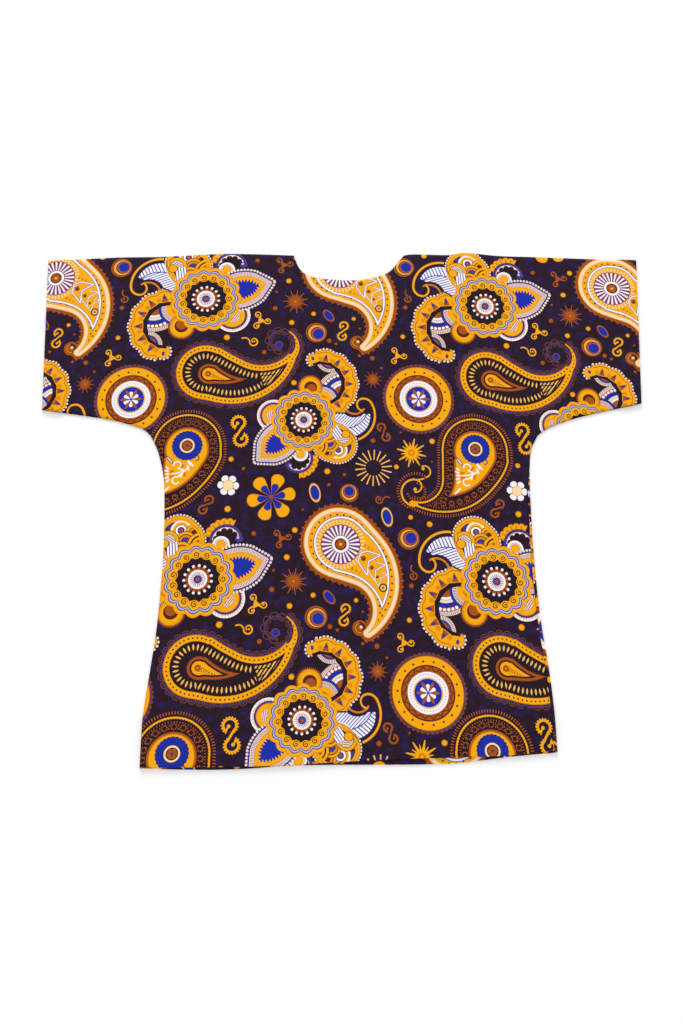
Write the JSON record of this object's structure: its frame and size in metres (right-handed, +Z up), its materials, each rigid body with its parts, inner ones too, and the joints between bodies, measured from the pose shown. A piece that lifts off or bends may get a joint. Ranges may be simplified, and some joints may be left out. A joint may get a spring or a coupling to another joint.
{
  "type": "dashiki tunic dress laid flat",
  "caption": "T-shaped printed cotton tunic dress laid flat, with short cut-on sleeves, a wide scoop neck and a turned hem.",
  "frame": {"origin": "centre of the bounding box, on the plane that the back panel's outer face rests on", "axes": "+Z up from the surface, +Y from the hem to the neck, +X to the viewer's right across the sleeves"},
  "size_m": [0.979, 0.832, 0.0049],
  "materials": {
    "printed_cotton": "matt plain-weave cotton, dark aubergine ground printed in yellow, rust brown, cobalt and off-white"
  },
  "bodies": {
    "root": {"back_panel": "printed_cotton", "front_panel": "printed_cotton"}
  },
  "joints": []
}
